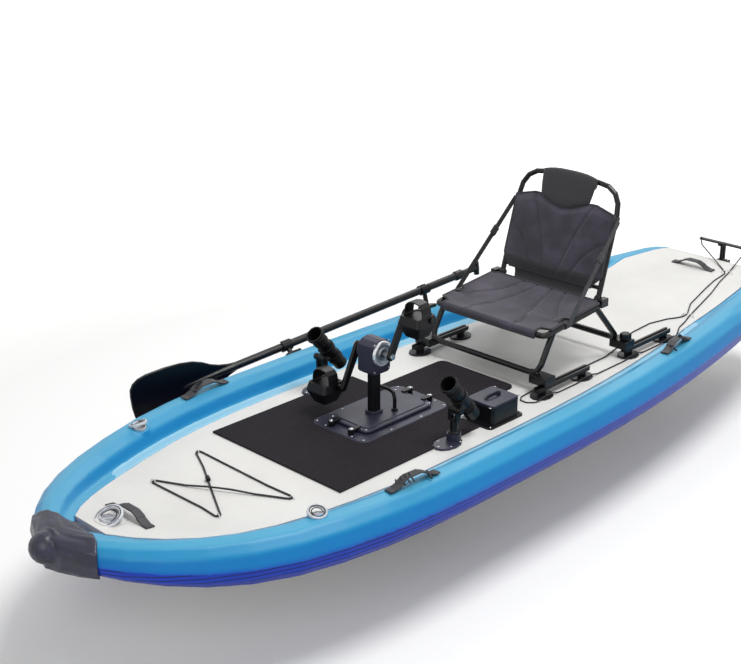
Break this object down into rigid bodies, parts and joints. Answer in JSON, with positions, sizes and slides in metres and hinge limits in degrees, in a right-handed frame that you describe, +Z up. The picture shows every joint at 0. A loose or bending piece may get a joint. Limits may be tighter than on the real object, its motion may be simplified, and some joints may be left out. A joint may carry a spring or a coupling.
{
  "type": "inflatable pedal kayak",
  "caption": "Inflatable sit-on pedal kayak with air side tubes, pedal drive through a well, framed seat on tracks, rod holders, box, rudder and clipped paddle.",
  "frame": {"origin": "on the flat bottom of the floor board, on the centreline at mid-length of the hull", "axes": "+X to the bow, +Y to port, +Z up"},
  "size_m": [3.5633, 1.2231, 1.0109],
  "materials": {
    "tube_pvc": "satin coated fabric, paler on top and deep blue low down",
    "deck_pvc": "matt coated drop-stitch fabric",
    "bumper_rubber": "satin",
    "slate_plastic": "satin moulded",
    "black_plastic": "satin moulded",
    "painted_tube": "satin black",
    "foam": "matt, finely grooved",
    "valve_plastic": "satin",
    "fabric": "mesh weave, piped edges",
    "webbing": "woven",
    "cap_metal": "brushed",
    "steel": "ground"
  },
  "bodies": {
    "hull": {"floor_board": "deck_pvc", "port_side_tube": "tube_pvc", "starboard_side_tube": "tube_pvc", "bow_bumper": "bumper_rubber", "bow_handle": "black_plastic", "stern_handle": "black_plastic", "port_front_handle": "black_plastic", "starboard_front_handle": "black_plastic", "port_rear_handle": "black_plastic", "starboard_rear_handle": "black_plastic", "deck_pad": "foam", "well_frame": "slate_plastic", "drive_plate": "slate_plastic", "lift_handle": "black_plastic", "drive_column": "slate_plastic", "gear_head": "slate_plastic", "bearing_cap": "cap_metal", "lower_gearcase": "black_plastic", "bungee_cord": "webbing", "port_rod_foot": "black_plastic", "starboard_rod_foot": "black_plastic", "box_body": "slate_plastic", "port_front_track": "black_plastic", "starboard_front_track": "black_plastic", "port_rear_track": "black_plastic", "starboard_rear_track": "black_plastic", "rudder_bracket": "black_plastic", "steering_line": "webbing", "paddle_blade": "black_plastic", "paddle_clip_forward": "black_plastic", "paddle_clip_aft": "black_plastic"},
    "port_valve": {"port_valve_cap": "valve_plastic"},
    "starboard_valve": {"starboard_valve_cap": "valve_plastic"},
    "bow_valve": {"bow_valve_cap": "valve_plastic"},
    "front_port_swivel": {"front_port_latch": "black_plastic"},
    "front_starboard_swivel": {"front_starboard_latch": "black_plastic"},
    "rear_port_swivel": {"rear_port_latch": "black_plastic"},
    "rear_starboard_swivel": {"rear_starboard_latch": "black_plastic"},
    "crank": {"crank_spindle": "steel", "port_crank_arm": "black_plastic", "starboard_crank_arm": "black_plastic"},
    "port_pedal_body": {"port_pedal": "black_plastic"},
    "starboard_pedal_body": {"starboard_pedal": "black_plastic"},
    "drive_shaft_body": {"drive_shaft": "steel"},
    "propeller_body": {"propeller": "black_plastic"},
    "port_rod_swivel": {"port_rod_arm": "black_plastic"},
    "port_rod_cup": {"port_rod_tube": "black_plastic"},
    "starboard_rod_swivel": {"starboard_rod_arm": "black_plastic"},
    "starboard_rod_cup": {"starboard_rod_tube": "black_plastic"},
    "lid": {"box_lid": "slate_plastic"},
    "seat_base": {"seat_base_frame": "painted_tube", "seat_panel": "fabric", "port_side_strap": "webbing", "starboard_side_strap": "webbing"},
    "seat_back": {"seat_back_frame": "painted_tube", "back_panel": "fabric"},
    "lock_knob": {"seat_lock_knob": "black_plastic"},
    "rudder": {"rudder_head": "black_plastic"},
    "blade": {"rudder_blade": "black_plastic"},
    "grip": {"paddle_grip": "black_plastic"}
  },
  "joints": [
    {"name": "port_valve_turn", "type": "hinge", "parent": "hull", "child": "port_valve", "pos_m": [1.04621, 0.40475, 0.15246], "axis": [-0.0767, -0.2993, 0.9511], "range_deg": [0, 90]},
    {"name": "starboard_valve_turn", "type": "hinge", "parent": "hull", "child": "starboard_valve", "pos_m": [1.04621, -0.40475, 0.15246], "axis": [-0.0767, 0.2993, 0.9511], "range_deg": [0, 90]},
    {"name": "bow_valve_turn", "type": "hinge", "parent": "hull", "child": "bow_valve", "pos_m": [1.446, 0, 0.13531], "axis": [-0.1859, 0, 0.9826], "range_deg": [0, 90]},
    {"name": "front_port_latch_turn", "type": "hinge", "parent": "hull", "child": "front_port_swivel", "pos_m": [0.556, 0.045, 0.1106], "axis": [0, 0, 1], "range_deg": [-90, 0]},
    {"name": "front_starboard_latch_turn", "type": "hinge", "parent": "hull", "child": "front_starboard_swivel", "pos_m": [0.556, -0.045, 0.1106], "axis": [0, 0, 1], "range_deg": [0, 90]},
    {"name": "rear_port_latch_turn", "type": "hinge", "parent": "hull", "child": "rear_port_swivel", "pos_m": [0.184, 0.045, 0.1106], "axis": [0, 0, 1], "range_deg": [0, 90]},
    {"name": "rear_starboard_latch_turn", "type": "hinge", "parent": "hull", "child": "rear_starboard_swivel", "pos_m": [0.184, -0.045, 0.1106], "axis": [0, 0, 1], "range_deg": [-90, 0]},
    {"name": "crank_spin", "type": "hinge", "parent": "hull", "child": "crank", "pos_m": [0.405, 0, 0.34], "axis": [0, 1, 0], "continuous": true},
    {"name": "port_pedal_spin", "type": "hinge", "parent": "crank", "child": "port_pedal_body", "pos_m": [0.3369, 0.14, 0.47365], "axis": [0, 1, 0], "continuous": true},
    {"name": "starboard_pedal_spin", "type": "hinge", "parent": "crank", "child": "starboard_pedal_body", "pos_m": [0.4731, -0.14, 0.20635], "axis": [0, 1, 0], "continuous": true},
    {"name": "shaft_spin", "type": "hinge", "parent": "hull", "child": "drive_shaft_body", "pos_m": [0.405, 0, 0], "axis": [0, 0, 1], "continuous": true},
    {"name": "propeller_spin", "type": "hinge", "parent": "hull", "child": "propeller_body", "pos_m": [0.405, 0, -0.17], "axis": [1, 0, 0], "continuous": true},
    {"name": "port_rod_swivel_turn", "type": "hinge", "parent": "hull", "child": "port_rod_swivel", "pos_m": [0.352, 0.3, 0.1316], "axis": [0, 0, 1], "continuous": true},
    {"name": "port_rod_tilt", "type": "hinge", "parent": "port_rod_swivel", "child": "port_rod_cup", "pos_m": [0.352, 0.3, 0.212], "axis": [0, 1, 0], "range_deg": [-25, 49]},
    {"name": "starboard_rod_swivel_turn", "type": "hinge", "parent": "hull", "child": "starboard_rod_swivel", "pos_m": [0.352, -0.3, 0.1316], "axis": [0, 0, 1], "continuous": true},
    {"name": "starboard_rod_tilt", "type": "hinge", "parent": "starboard_rod_swivel", "child": "starboard_rod_cup", "pos_m": [0.352, -0.3, 0.212], "axis": [0, 1, 0], "range_deg": [-25, 49]},
    {"name": "box_lid_turn", "type": "hinge", "parent": "hull", "child": "lid", "pos_m": [0.053, 0.268, 0.1653], "axis": [0, 1, 0], "range_deg": [-100, 0]},
    {"name": "seat_slide", "type": "slide", "parent": "hull", "child": "seat_base", "axis": [1, 0, 0], "range_m": [-0.18, 0]},
    {"name": "seat_fold", "type": "hinge", "parent": "seat_base", "child": "seat_back", "pos_m": [-0.512, 0, 0.334], "axis": [0, 1, 0], "range_deg": [0, 55], "deforming": ["port_side_strap", "starboard_side_strap"]},
    {"name": "seat_lock_turn", "type": "hinge", "parent": "seat_base", "child": "lock_knob", "pos_m": [-0.615, 0.277, 0.166], "axis": [0, 0, 1], "range_deg": [-180, 180]},
    {"name": "rudder_swing", "type": "hinge", "parent": "hull", "child": "rudder", "pos_m": [-1.73219, 0, 0], "axis": [0, 0, 1], "range_deg": [-40, 40], "deforming": ["steering_line"]},
    {"name": "rudder_kick", "type": "hinge", "parent": "rudder", "child": "blade", "pos_m": [-1.78219, 0, 0.105], "axis": [0, 1, 0], "range_deg": [0, 110]},
    {"name": "paddle_grip_slide", "type": "slide", "parent": "hull", "child": "grip", "axis": [-0.9881, 0.1135, 0.1042], "range_m": [-0.06, 0.34]}
  ],
  "couplings": [
    {"joint": "shaft_spin", "follows": "crank_spin", "ratio": 4},
    {"joint": "propeller_spin", "follows": "crank_spin", "ratio": 8}
  ]
}
